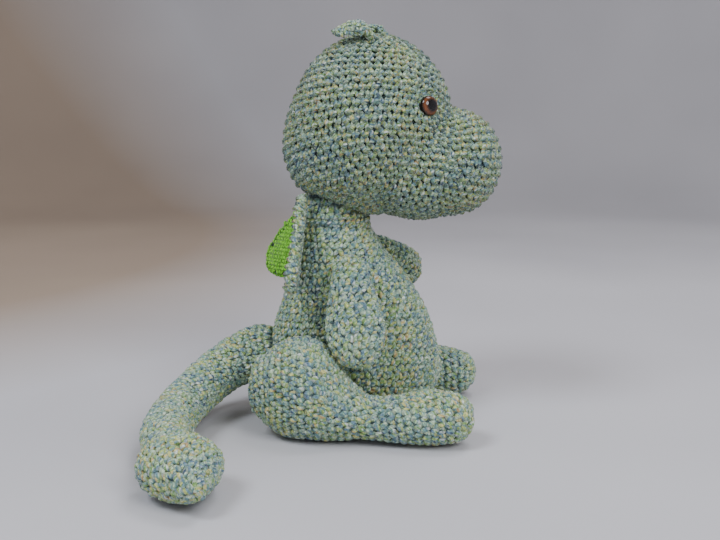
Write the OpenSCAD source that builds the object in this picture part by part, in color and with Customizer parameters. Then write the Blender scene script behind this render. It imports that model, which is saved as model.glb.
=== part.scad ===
// A seated, stuffed crochet dragon, 231 mm tall, facing -Y. Its right side is at -X and +Z is up.
// The flat underside of the body rests on the plane z = 0. Every limb is its own crocheted shell
// round its own stuffing, and is joined at a soft sewn joint.

/* [Body] */
// Height of the middle of the neck joint
neck_height = 126; // [118:1:132]
// Front-to-back radius of the belly
belly_depth = 52; // [48:1:54]
// Side-to-side radius of the belly, between the legs
belly_width = 36; // [30:1:36]
// Radius of the round top of the neck
neck_radius = 19.5;
// Thickness of the crocheted fabric
fabric = 3.6; // [2.8:0.2:4.4]

/* [Head] */
// Radius of the round back part of the head
skull_radius = 46; // [42:1:46]
// How far the nose reaches in front of the middle of the body
nose_reach = 91; // [86:1:96]
// Half the width of the nose
nose_width = 31; // [26:1:33]

/* [Eyes] */
// Diameter of the safety eye
eye_size = 12; // [9:1:14]
// Length of the post behind the eye
post_length = 13; // [10:1:16]
// Half the distance between the two eyes
eye_spread = 27;

/* [Limbs] */
// Forward swing of the right arm from straight down
right_arm_swing = 8;
// Forward swing of the left arm from straight down
left_arm_swing = 44;
// Outward lean of the right arm
right_arm_lean = 18;
// Outward lean of the left arm
left_arm_lean = 47;
// Turn of the right toes away from the middle
right_leg_turn = 4; // [0:0.5:8]
// Turn of the left toes towards the middle
left_leg_turn = 4; // [0:0.5:5]
// Length of an arm below the shoulder
arm_length = 52; // [46:1:53]
// Radius of the thigh, seen from the side
thigh_radius = 30;
// How far the toes reach in front of the middle of the body
toe_reach = 80; // [74:1:84]

/* [Tail] */
// Radius of the tail at its root
tail_root_radius = 17.5;
// Radius of the tail near its end
tail_end_radius = 12.4; // [10:0.2:12.4]
// Length of the pointed tail tip
tip_length = 54; // [42:1:56]

/* [Wings and ears] */
// Height of a wing
wing_height = 54; // [46:1:58]
// Span of a wing from its sewn edge
wing_span = 44; // [30:1:48]
// Thickness of one wing layer
wing_layer = 3.2; // [2.4:0.2:3.6]
// Backward sweep of the right wing
right_wing_sweep = -6;
// Backward sweep of the left wing
left_wing_sweep = 54;
// Length of an ear
ear_length = 23; // [18:1:26]

/* [Hidden] */

yarn_green = [0.50, 0.62, 0.56];
yarn_light = [0.60, 0.68, 0.58];
lining_green = [0.42, 0.78, 0.16];
filling_white = [0.93, 0.92, 0.88];
amber = [0.35, 0.16, 0.05];
black = [0.03, 0.03, 0.03];
washer_white = [0.88, 0.88, 0.86];

// room between a shell and the stuffing inside it
stuffing_gap = 0.35;
neck_point = [0, 6.5, neck_height];
head_middle = [0, -36, neck_height + 39];
head_tilt = 9;
shoulder = [-39.6, -8, neck_height - 28];
hip = [-50, 14, thigh_radius];
tail_root = [0, 53, 36];
tail_end = [-125, 71.3, 13];
tip_turn = 208;
right_wing_root = [-16.9, 25.5, neck_height - 16];
left_wing_root = [16.3, 23.5, neck_height - 23];
left_wing_lean = 8;
wing_tilt = 6;
wing_rim = 2;
ear_root = [-17, -19.5, neck_height + 99.2];

// ---- curves through a few stations ----

function between(a, b, c, d, t) =
  0.5 * (2 * b + (c - a) * t + (2 * a - 5 * b + 4 * c - d) * t * t
  + (3 * b - a - 3 * c + d) * t * t * t);

function at(stations, u) =
  let (last = len(stations) - 1)
  let (i = min(floor(u * last), last - 1))
  let (before = stations[max(i - 1, 0)])
  let (after = stations[min(i + 2, last)])
  between(before, stations[i], stations[i + 1], after, u * last - i);

function unit(v) = v / norm(v);

function power(x, e) = sign(x) * pow(abs(x), e);

// one closed ring: side and up are its axes, and r = [side+, side-, up+, up-]
function ring(middle, side, up, r, count, e = 1) = [
  for (k = [0 : count - 1])
    let (c = cos(360 * k / count))
    let (s = sin(360 * k / count))
    middle + side * power(c, e) * (c > 0 ? r[0] : r[1])
    + up * power(s, e) * (s > 0 ? r[2] : r[3])
];

// triangles over a stack of rings, closed by one point at each end
function skin(rings, count) = [
  for (k = [0 : count - 1]) [0, 1 + k, 1 + (k + 1) % count],
  for (i = [0 : rings - 2])
    for (k = [0 : count - 1])
      let (a = 1 + i * count + k)
      let (d = 1 + i * count + (k + 1) % count)
      for (face = [[a, a + count, d + count], [a, d + count, d]]) face,
  for (k = [0 : count - 1])
    [1 + rings * count, 1 + (rings - 1) * count + (k + 1) % count, 1 + (rings - 1) * count + k],
];

// closed loft over a list of rings
module loft(rings, first, last, count) {
  polyhedron(
    points = concat([first], [for (one = rings) each one], [last]),
    faces = skin(len(rings), count)
  );
}

// loft along a path of stations [x, y, z, side+, side-, up+, up-], with a rounded cap at each end
module sleeve(stations, side, up, ahead, steps, count, inset = 0, caps = [1, 1], e = 1) {
  first = at(stations, 0);
  last = at(stations, 1);
  cap = [30, 60];
  function radii(s) = [for (k = [3 : 6]) s[k] - inset];
  function point(s) = [s[0], s[1], s[2]];
  function reach(s, share) = share * (s[5] + s[6] + s[3] + s[4]) / 4;
  low = reach(first, caps[0]) - inset;
  high = reach(last, caps[1]) - inset;
  middle_rings = [
    for (i = [0 : steps])
      ring(point(at(stations, i / steps)), side, up, radii(at(stations, i / steps)), count, e)
  ];
  low_rings = [
    for (k = [1, 0])
      ring(point(first) - ahead * low * sin(cap[k]), side, up, radii(first) * cos(cap[k]), count, e)
  ];
  high_rings = [
    for (k = [0, 1])
      ring(point(last) + ahead * high * sin(cap[k]), side, up, radii(last) * cos(cap[k]), count, e)
  ];
  loft(
    concat(low_rings, middle_rings, high_rings),
    point(first) - ahead * low,
    point(last) + ahead * high,
    count
  );
}

// ---- head ----

// distance from the middle of the head to an egg-shaped lobe, along a direction
function lobe(direction, centre, radii) =
  let (o = [for (k = [0 : 2]) (head_middle[k] - centre[k]) / radii[k]])
  let (d = [for (k = [0 : 2]) direction[k] / radii[k]])
  let (b = o * d)
  let (a = d * d)
  max(0, (-b + sqrt(max(0, b * b - a * (o * o - 1)))) / a);

function head_radius(direction) =
  let (skull = lobe(direction, [0, -16.4, neck_height + 53.4], skull_radius * [1, 0.975, 1.026]))
  let (nape = lobe(direction, [0, -8, neck_height + 37], [39, 43, 38]))
  let (nose = lobe(direction, [0, -66.6, neck_height + 29.3], [nose_width, nose_reach - 66.6, 28.4]))
  let (jaw = lobe(direction, [0, -44, neck_height + 25.8], [35, 36.4, 28.7]))
  pow(pow(skull, 18) + pow(nape, 18) + pow(nose, 18) + pow(jaw, 18), 1 / 18);

// direction for a round and a stitch of the head, tilted with the head
function head_direction(rise, turn) =
  let (flat = [cos(rise) * cos(turn), cos(rise) * sin(turn), sin(rise)])
  [
    flat[0],
    flat[1] * cos(head_tilt) + flat[2] * sin(head_tilt),
    flat[2] * cos(head_tilt) - flat[1] * sin(head_tilt)
  ];

function head_point(rise, turn, inset) =
  let (d = head_direction(rise, turn))
  head_middle + d * (head_radius(d) - inset);

module head_form(rounds, count, inset) {
  loft(
    [
      for (i = [1 : rounds - 1])
        [for (k = [0 : count - 1]) head_point(180 * i / rounds - 90, 360 * k / count, inset)]
    ],
    head_point(-90, 0, inset),
    head_point(90, 0, inset),
    count
  );
}

// ---- eyes ----

eye_direction = unit([-eye_spread, -13.2, 21]);
eye_seat = head_middle + eye_direction * (head_radius(eye_direction) - 0.9);
eye_pitch = 80;
eye_yaw = 44;

// carries a shape drawn along +Z to the seat of the right eye, facing out of the head
module on_right_eye() {
  translate(eye_seat)
    rotate([0, 0, eye_yaw])
      rotate([0, -eye_pitch, 0])
        children();
}

module on_left_eye() {
  mirror([1, 0, 0]) on_right_eye() children();
}

module both_eyes() {
  on_right_eye() children();
  on_left_eye() children();
}

module eye_lens_form() {
  $fn = 48;
  lens_round = eye_size * 0.53;
  difference() {
    intersection() {
      translate([0, 0, eye_size * 0.37 + 1 - lens_round]) sphere(r = lens_round);
      translate([0, 0, 1.1]) cylinder(h = eye_size, r = eye_size / 2 - 0.3);
    }
    cylinder(h = 1.9, r = eye_size * 0.27 + 0.1);
  }
}

module eye_pupil_form() {
  $fn = 48;
  translate([0, 0, 1.1]) cylinder(h = 0.7, r = eye_size * 0.27);
}

module eye_post_form() {
  $fn = 48;
  cylinder(h = 1, r = eye_size / 2);
  translate([0, 0, -post_length]) cylinder(h = post_length, r = 1.9);
  for (rib = [1 : 5])
    translate([0, 0, -post_length + 1.6 * rib]) cylinder(h = 0.6, r = 2.3);
}

module eye_washer_form() {
  $fn = 48;
  difference() {
    union() {
      translate([0, 0, -fabric - 2.2]) cylinder(h = 1.4, r = eye_size / 2 + 0.5);
      translate([0, 0, -fabric - 3.6]) cylinder(h = 2, r = 4);
    }
    translate([0, 0, -fabric - 5]) cylinder(h = 6, r = 2.45);
  }
}

// room that an eye needs in the fabric and in the stuffing
module eye_room(wide, deep) {
  $fn = 32;
  cylinder(h = 12, r = eye_size / 2 + 0.25);
  translate([0, 0, -deep]) cylinder(h = deep + 1, r = wide);
}

module neck_ball(extra) {
  $fn = 64;
  translate(neck_point) sphere(r = neck_radius + extra);
}

module neck_hole(radius, low, high) {
  $fn = 40;
  translate(neck_point + [0, 0, low]) cylinder(h = high - low, r = radius);
}

module head_shell() {
  color(yarn_green)
    difference() {
      head_form(24, 40, 0);
      difference() {
        head_form(14, 24, fabric);
        neck_ball(0.6 + fabric);
      }
      neck_ball(0.6);
      neck_hole(9, 0, 30);
      both_eyes() eye_room(2.7, 12);
    }
}

module head_stuffing() {
  color(filling_white)
    difference() {
      head_form(14, 24, fabric + stuffing_gap);
      neck_ball(1 + fabric);
      both_eyes() eye_room(7.2, 16);
    }
}

module neck_seam() {
  $fn = 64;
  color(yarn_light)
    translate([neck_point[0], neck_point[1], neck_height - 5.6])
      rotate_extrude() translate([21.5, 0]) circle(r = 0.9, $fn = 20);
}

// ---- body ----

function body_station(share, wide, deep, back) =
  [0, back, share * neck_height, wide, wide, deep, deep];

body_stations = [
  body_station(0.022, belly_width * 0.87, belly_depth * 0.80, -6),
  body_station(0.20, belly_width, belly_depth, -6),
  body_station(0.36, belly_width, belly_depth * 0.98, -5),
  body_station(0.52, belly_width * 0.99, belly_depth * 0.86, -4.6),
  body_station(0.68, belly_width * 0.90, belly_depth * 0.677, -2),
  body_station(0.84, belly_width * 0.68, belly_depth * 0.465, 3.7),
  body_station(0.955, neck_radius + 0.25, neck_radius + 0.25, 6.3),
  body_station(1, neck_radius - 0.1, neck_radius - 0.1, 6.5),
];

// the neck ends in a dome and the seat is flat
module body_form(steps, count, inset) {
  across = [1, 0, 0];
  back = [0, 1, 0];
  seat = at(body_stations, 0);
  function radii(s) = [for (k = [3 : 6]) s[k] - inset];
  function point(s) = [s[0], s[1], s[2]];
  dome = neck_radius - 0.1 - inset;
  floor_level = inset;
  base = ring([0, -6, floor_level], across, back, radii(seat) * 0.80, count);
  low = ring([0, -6, floor_level + 1.0], across, back, radii(seat) * 0.92, count);
  rings = [
    for (i = [0 : steps])
      let (s = at(body_stations, i / steps))
      ring([s[0], s[1], max(s[2], floor_level + 1.6 + i)], across, back, radii(s), count)
  ];
  top = [
    for (rise = [18, 36, 54, 72])
      ring(neck_point + [0, 0, dome * sin(rise)], across, back, [1, 1, 1, 1] * dome * cos(rise), count)
  ];
  loft(concat([base, low], rings, top), [0, -6, floor_level], neck_point + [0, 0, dome], count);
}

module tail_ball(extra) {
  $fn = 64;
  translate(tail_root) sphere(r = tail_root_radius + extra);
}

module body_shell() {
  color(yarn_green)
    difference() {
      body_form(22, 36, 0);
      body_form(14, 24, fabric);
      neck_hole(9, 0, 30);
      tail_ball(0.6);
    }
}

module body_stuffing() {
  color(filling_white)
    difference() {
      body_form(14, 24, fabric + stuffing_gap);
      tail_ball(1);
    }
}

// ---- arms ----

function arm_station(share, wide, thick) =
  [0, 0, -share * arm_length, thick, thick, wide, wide];

arm_stations = [
  arm_station(0, 9, 7.6),
  arm_station(0.2, 11.8, 8.8),
  arm_station(0.4, 14, 9),
  arm_station(0.62, 16.4, 9.2),
  arm_station(0.84, 16, 9),
  arm_station(1, 11, 7),
];

// an arm that hangs from the origin, then leans out and swings forward
module arm_form(steps, count, inset, swing, lean) {
  translate(shoulder)
    rotate([-swing, 0, 0])
      rotate([0, lean, 0])
        sleeve(arm_stations, [-1, 0, 0], [0, 1, 0], [0, 0, -1], steps, count, inset, [0.75, 0.55]);
}

// the mouth of the sleeve, where it is sewn to the body
module arm_mouth(swing, lean) {
  $fn = 24;
  translate(shoulder)
    rotate([-swing, 0, 0])
      rotate([0, lean, 0])
        translate([0, 0, -4])
          cylinder(h = 20, r = 3.6);
}

module arm_shell(swing, lean) {
  difference() {
    arm_form(12, 26, 0, swing, lean);
    arm_form(8, 16, fabric, swing, lean);
    arm_mouth(swing, lean);
  }
}

module arm_filling(swing, lean) {
  arm_form(8, 16, fabric + stuffing_gap, swing, lean);
}

module right_arm_shell() {
  color(yarn_green) arm_shell(right_arm_swing, right_arm_lean);
}

module right_arm_stuffing() {
  color(filling_white) arm_filling(right_arm_swing, right_arm_lean);
}

module left_arm_shell() {
  color(yarn_green) mirror([1, 0, 0]) arm_shell(left_arm_swing, left_arm_lean);
}

module left_arm_stuffing() {
  color(filling_white) mirror([1, 0, 0]) arm_filling(left_arm_swing, left_arm_lean);
}

// ---- legs ----

// a section of the right leg: place, then reach towards the body, outwards, up and down
function leg_station(forward, outward, rise, inner, outer, tall) =
  [-outward, -forward, rise + 0.4, inner, outer, tall, tall];

leg_stations = [
  leg_station(-40, 50, 27.6, 11, 14, 19.4),
  leg_station(-29, 50, 28.4, 12.8, 22, thigh_radius * 0.925),
  leg_station(-14, 50.5, 29.8, 13.4, 25.5, thigh_radius),
  leg_station(-3, 51, 26.6, 13.4, 23.5, thigh_radius * 0.885),
  leg_station(6, 52, 20.6, 13, 18.4, thigh_radius * 0.66),
  leg_station(16, 52.4, 15.8, 12.4, 14.4, 13.2),
  leg_station(27, 52, 13.8, 12.4, 13.4, 11.8),
  leg_station(toe_reach - 40, 50.6, 14.4, 13.6, 15.2, 13.4),
  leg_station(toe_reach - 25, 49, 15.7, 16, 17, 15.3),
  leg_station(toe_reach - 11, 48, 15.8, 14, 14.8, 13.6),
];

module leg_form(steps, count, inset) {
  sleeve(leg_stations, [1, 0, 0], [0, 0, 1], [0, -1, 0], steps, count, inset, [0.55, 0.78]);
}

// the mouth of the leg, on its flat inner side
module leg_mouth() {
  $fn = 32;
  translate([hip[0], hip[1], hip[2]]) rotate([0, 90, 0]) cylinder(h = 30, r = 11);
}

module leg_shell() {
  difference() {
    leg_form(22, 28, 0);
    leg_form(14, 16, fabric);
    leg_mouth();
  }
}

module turned_leg(angle) {
  translate([hip[0], hip[1], 0]) rotate([0, 0, angle]) translate([-hip[0], -hip[1], 0]) children();
}

module right_leg_shell() {
  color(yarn_green) turned_leg(-right_leg_turn) leg_shell();
}

module right_leg_stuffing() {
  color(filling_white) turned_leg(-right_leg_turn) leg_form(14, 16, fabric + stuffing_gap);
}

module left_leg_shell() {
  color(yarn_green) mirror([1, 0, 0]) turned_leg(left_leg_turn) leg_shell();
}

module left_leg_stuffing() {
  color(filling_white) mirror([1, 0, 0]) turned_leg(left_leg_turn) leg_form(14, 16, fabric + stuffing_gap);
}

// ---- tail ----

tail_path = [
  concat(tail_root, tail_root_radius),
  [-4, 65, 32.4, tail_root_radius - 1.9],
  [-16, 76.5, 26, tail_root_radius - 3.4],
  [-36, 85.5, 18.8, tail_end_radius + 1.1],
  [-62, 88.5, 15, tail_end_radius + 0.8],
  [-95, 84.5, 13.6, tail_end_radius + 0.5],
  concat(tail_end, tail_end_radius),
];

function tail_point(u) = [for (k = [0 : 2]) at(tail_path, u)[k]];

function tail_ahead(u) = unit(tail_point(min(u + 0.01, 1)) - tail_point(max(u - 0.01, 0)));

function tail_ring(u, slip, share, count, inset) =
  let (ahead = tail_ahead(u))
  let (side = unit(cross([0, 0, 1], ahead)))
  let (up = cross(ahead, side))
  let (r = at(tail_path, u)[3] - inset)
  ring(tail_point(u) + ahead * slip * r, side, up, [1, 1, 1, 1] * r * share, count);

// a bent tube with a round end inside the body and a round end inside the tail tip
module tail_form(steps, count, inset) {
  loft(
    concat(
      [for (a = [60, 30]) tail_ring(0, -sin(a), cos(a), count, inset)],
      [for (i = [0 : steps]) tail_ring(i / steps, 0, 1, count, inset)],
      [for (a = [30, 60]) tail_ring(1, sin(a), cos(a), count, inset)]
    ),
    tail_point(0) - tail_ahead(0) * (tail_root_radius - inset),
    tail_point(1) + tail_ahead(1) * (tail_end_radius - inset),
    count
  );
}

module tail_mouth() {
  $fn = 24;
  translate(tail_root) rotate([90, 0, 0]) cylinder(h = 30, r = 6);
}

module tail_shell() {
  color(yarn_green)
    difference() {
      tail_form(22, 24, 0);
      tail_form(16, 16, fabric);
      tail_mouth();
    }
}

module tail_stuffing() {
  color(filling_white) tail_form(16, 16, fabric + stuffing_gap);
}

// ---- tail tip ----

function tip_station(share, wide, tall) =
  [share * tip_length, 0, 2.6, wide, wide, tall, tall];

tip_stations = [
  tip_station(0.12, 14.8, 12),
  tip_station(0.26, 20.6, 14.7),
  tip_station(0.44, 21.4, 15.4),
  tip_station(0.64, 16.6, 13),
  tip_station(0.84, 9, 8.8),
  tip_station(0.96, 4.8, 4.8),
];

// a pointed spade that starts at the end of the tail
module tip_form(steps, count, inset) {
  translate(tail_end)
    rotate([0, 0, tip_turn])
      sleeve(tip_stations, [0, 1, 0], [0, 0, 1], [1, 0, 0], steps, count, inset, [0.35, 0.6]);
}

module tip_socket(extra) {
  $fn = 48;
  translate(tail_end) sphere(r = tail_end_radius + extra);
}

module tail_tip_shell() {
  color(yarn_green)
    difference() {
      tip_form(14, 24, 0);
      difference() {
        tip_form(10, 16, fabric);
        tip_socket(0.4 + 1.6);
      }
      tip_socket(0.4);
      translate(tail_end) rotate([0, 0, tip_turn]) rotate([0, 90, 0]) cylinder(h = 22, r = 4, $fn = 24);
    }
}

module tail_tip_stuffing() {
  color(filling_white)
    difference() {
      tip_form(10, 16, fabric + stuffing_gap);
      tip_socket(0.4 + 2);
    }
}

// ---- wings ----

// outline of a wing: x is the span away from the sewn edge and y is the height
function wing_edge(count) = [
  for (k = [0 : count - 1])
    let (a = 360 * k / count)
    let (drop = (1 - sin(a)) / 2)
    let (reach = wing_span * (0.12 + 0.44 * pow(drop, 0.95)))
    [reach + cos(a) * reach * 0.96, sin(a) * wing_height / 2 - drop * 1.5]
];

module wing_panel(level, inset, height) {
  translate([0, 0, level])
    linear_extrude(height = height)
      offset(delta = -inset)
        polygon(wing_edge(60));
}

// the front is a shallow tray, whose edge wraps round the lining
module wing_front_form() {
  difference() {
    wing_panel(-wing_layer - 0.1, 0, wing_layer + 0.1 + wing_rim);
    wing_panel(-0.1, 3, wing_layer + wing_rim);
  }
}

module wing_lining_form() {
  wing_panel(0, 3.3, wing_rim + 0.4);
}

// stands a panel upright, leans its sewn edge to the taper of the back, and sweeps it back
module upright_panel(sweep, lean) {
  rotate([0, 0, 180 - sweep])
    rotate([90 - wing_tilt, 0, 0])
      rotate([0, 0, lean])
        children();
}

module on_right_back(sweep) {
  translate(right_wing_root) upright_panel(sweep, 0) children();
}

// the left wing is sewn on a little lower
module on_left_back(sweep) {
  translate(left_wing_root) mirror([1, 0, 0]) upright_panel(sweep, left_wing_lean) children();
}

module right_wing_front() {
  color(yarn_light) on_right_back(right_wing_sweep) wing_front_form();
}

module right_wing_lining() {
  color(lining_green) on_right_back(right_wing_sweep) wing_lining_form();
}

module left_wing_front() {
  color(yarn_light) on_left_back(left_wing_sweep) wing_front_form();
}

module left_wing_lining() {
  color(lining_green) on_left_back(left_wing_sweep) wing_lining_form();
}

// ---- ears ----

function ear_station(share, rise, wide, thick) =
  [0, share * ear_length, rise, wide, wide, thick, thick];

ear_stations = [
  ear_station(0.05, 0.4, 3.4, 2.2),
  ear_station(0.16, 3.6, 4.6, 3.1),
  ear_station(0.3, 6.2, 5.8, 3.1),
  ear_station(0.48, 6.6, 6.6, 2.7),
  ear_station(0.68, 5.6, 6.4, 2.6),
  ear_station(0.86, 3.9, 4.6, 2.2),
  ear_station(0.95, 3, 2.8, 1.8),
];

module ear_form() {
  translate(ear_root)
    rotate([0, 0, 6])
      rotate([0, -24, 0])
        sleeve(ear_stations, [-1, 0, 0], [0, 0, 1], [0, 1, 0], 10, 20, 0, [0.6, 0.6]);
}

module right_ear() {
  color(yarn_green) ear_form();
}

module left_ear() {
  color(yarn_green) mirror([1, 0, 0]) translate([0, -6, 0]) ear_form();
}

// ---- eye parts ----

module right_eye_lens() {
  color(amber) on_right_eye() eye_lens_form();
}

module right_eye_pupil() {
  color(black) on_right_eye() eye_pupil_form();
}

module right_eye_post() {
  color(black) on_right_eye() eye_post_form();
}

module left_eye_lens() {
  color(amber) on_left_eye() eye_lens_form();
}

module left_eye_pupil() {
  color(black) on_left_eye() eye_pupil_form();
}

module left_eye_post() {
  color(black) on_left_eye() eye_post_form();
}

module eye_washers() {
  color(washer_white) both_eyes() eye_washer_form();
}

head_shell();
head_stuffing();
neck_seam();
body_shell();
body_stuffing();
right_arm_shell();
right_arm_stuffing();
left_arm_shell();
left_arm_stuffing();
right_leg_shell();
right_leg_stuffing();
left_leg_shell();
left_leg_stuffing();
tail_shell();
tail_stuffing();
tail_tip_shell();
tail_tip_stuffing();
right_wing_front();
right_wing_lining();
left_wing_front();
left_wing_lining();
right_ear();
left_ear();
right_eye_lens();
right_eye_pupil();
right_eye_post();
left_eye_lens();
left_eye_pupil();
left_eye_post();
eye_washers();
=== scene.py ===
"""A seated, stuffed crochet dragon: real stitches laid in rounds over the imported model."""

import math

import bmesh
import bpy
import numpy as np
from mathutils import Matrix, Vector, noise
from mathutils.bvhtree import BVHTree


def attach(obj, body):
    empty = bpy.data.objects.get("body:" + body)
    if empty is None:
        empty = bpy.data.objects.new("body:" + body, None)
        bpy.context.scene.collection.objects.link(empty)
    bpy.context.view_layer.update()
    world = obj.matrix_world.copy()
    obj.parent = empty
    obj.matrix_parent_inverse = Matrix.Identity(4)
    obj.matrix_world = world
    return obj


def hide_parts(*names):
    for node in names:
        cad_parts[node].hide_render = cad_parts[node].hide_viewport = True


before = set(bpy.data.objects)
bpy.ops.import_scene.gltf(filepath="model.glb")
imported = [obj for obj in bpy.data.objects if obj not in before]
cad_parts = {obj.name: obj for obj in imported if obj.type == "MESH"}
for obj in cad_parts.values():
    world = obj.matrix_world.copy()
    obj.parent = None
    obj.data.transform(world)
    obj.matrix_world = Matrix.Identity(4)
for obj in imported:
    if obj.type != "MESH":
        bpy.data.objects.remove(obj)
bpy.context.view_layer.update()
MM = 0.001

# ---- sizes of the crochet work, in metres ----
STITCH_WIDE = 5.1 * MM
STITCH_TALL = 4.5 * MM
YARN_WIDE = 1.42 * MM
YARN_THICK = 1.15 * MM
# width, height and yarn width of a stitch on a wing's front, its rim and its lining
WING_GAUGE = (4.6 * MM, 4.2 * MM, 1.3 * MM)
RIM_YARN = 1.15 * MM
LINING_GAUGE = (2.5 * MM, 2.3 * MM, 0.78 * MM)
# the sewn ring at the neck: its middle line, radius, height and number of stitches
NECK_BACK = 6.5 * MM
SEAM_RADIUS = 20.9 * MM
SEAM_HEIGHT = 120.4 * MM
SEAM_STITCHES = 36
FABRIC = 3.9 * MM
ROW_DRIFT = 0.35
YARN_SIDES = 6

rng = np.random.default_rng(8)


# ---- camera ----


def make_camera():
    """The camera at the photo's angle."""
    place = Vector((-0.59137, -0.08175, 0.19419))
    aim = Vector((0.0, -0.009143, 0.089134))
    data = bpy.data.cameras.new("camera")
    data.lens = 50
    data.sensor_width = 36
    data.clip_start = 0.01
    data.clip_end = 20
    camera = bpy.data.objects.new("camera", data)
    camera.location = place
    camera.rotation_mode = "QUATERNION"
    camera.rotation_quaternion = (aim - place).to_track_quat("-Z", "Y")
    bpy.context.scene.collection.objects.link(camera)
    bpy.context.scene.camera = camera


make_camera()


# ---- small maths ----


def unit(v):
    return v / np.maximum(np.linalg.norm(v, axis=-1, keepdims=True), 1e-12)


def smooth_ring(grid, times):
    """Blurs a grid of points round the ring (axis 1) and along (axis 0), ends kept."""
    for _ in range(times):
        grid = (np.roll(grid, 1, 1) + 2 * grid + np.roll(grid, -1, 1)) / 4
        inner = (grid[:-2] + 2 * grid[1:-1] + grid[2:]) / 4
        grid = np.concatenate([grid[:1], inner, grid[-1:]])
    return grid


# ---- node materials ----


class Nodes:
    """A short way to write a node tree."""

    def __init__(self, name):
        self.material = bpy.data.materials.new(name)
        self.material.use_nodes = True
        self.tree = self.material.node_tree
        self.shader = self.tree.nodes["Principled BSDF"]

    def add(self, kind, **values):
        made = self.tree.nodes.new(kind)
        for key, value in values.items():
            setattr(made, key, value)
        return made

    def put(self, socket, value):
        if isinstance(value, bpy.types.NodeSocket):
            self.tree.links.new(value, socket)
        else:
            socket.default_value = value

    def maths(self, operation, a, b=0.0, c=None, clamp=False):
        made = self.add("ShaderNodeMath", operation=operation, use_clamp=clamp)
        self.put(made.inputs[0], a)
        self.put(made.inputs[1], b)
        if c is not None:
            self.put(made.inputs[2], c)
        return made.outputs[0]

    def attribute(self, name):
        return self.add("ShaderNodeAttribute", attribute_name=name).outputs["Fac"]

    def noise(self, scale, detail=2.0, vector=None, w=None, rough=0.5):
        made = self.add("ShaderNodeTexNoise")
        if w is not None:
            made.noise_dimensions = "1D"
            self.put(made.inputs["W"], w)
        elif vector is not None:
            self.put(made.inputs["Vector"], vector)
        made.inputs["Scale"].default_value = scale
        made.inputs["Detail"].default_value = detail
        made.inputs["Roughness"].default_value = rough
        return made.outputs[0]

    def ramp(self, factor, stops, kind="LINEAR"):
        made = self.add("ShaderNodeValToRGB")
        made.color_ramp.interpolation = kind
        points = made.color_ramp.elements
        while len(points) < len(stops):
            points.new(0.5)
        for point, (place, colour) in zip(points, stops):
            point.position = place
            point.color = (*colour, 1)
        self.put(made.inputs[0], factor)
        return made.outputs[0]

    def mix(self, factor, a, b, blend="MIX"):
        made = self.add("ShaderNodeMix", data_type="RGBA", blend_type=blend)
        self.put(made.inputs[0], factor)
        self.put(made.inputs[6], a)
        self.put(made.inputs[7], b)
        return made.outputs[2]

    def place(self):
        return self.add("ShaderNodeTexCoord").outputs["Object"]

    def bump(self, height, distance, strength=1.0):
        made = self.add("ShaderNodeBump")
        made.inputs["Strength"].default_value = strength
        made.inputs["Distance"].default_value = distance
        self.put(made.inputs["Height"], height)
        self.put(self.shader.inputs["Normal"], made.outputs[0])


# dyed wool: how the colours follow one another along the yarn
PLY_ONE = [
    (0.24, (0.050, 0.075, 0.120)),
    (0.33, (0.130, 0.215, 0.290)),
    (0.41, (0.120, 0.240, 0.205)),
    (0.48, (0.440, 0.560, 0.380)),
    (0.54, (0.120, 0.250, 0.080)),
    (0.61, (0.420, 0.490, 0.160)),
    (0.69, (0.560, 0.480, 0.200)),
    (0.78, (0.360, 0.240, 0.110)),
]
PLY_TWO = [
    (0.30, (0.520, 0.500, 0.230)),
    (0.38, (0.180, 0.330, 0.110)),
    (0.45, (0.520, 0.600, 0.460)),
    (0.53, (0.170, 0.320, 0.260)),
    (0.60, (0.140, 0.220, 0.290)),
    (0.68, (0.560, 0.620, 0.560)),
]


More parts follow.
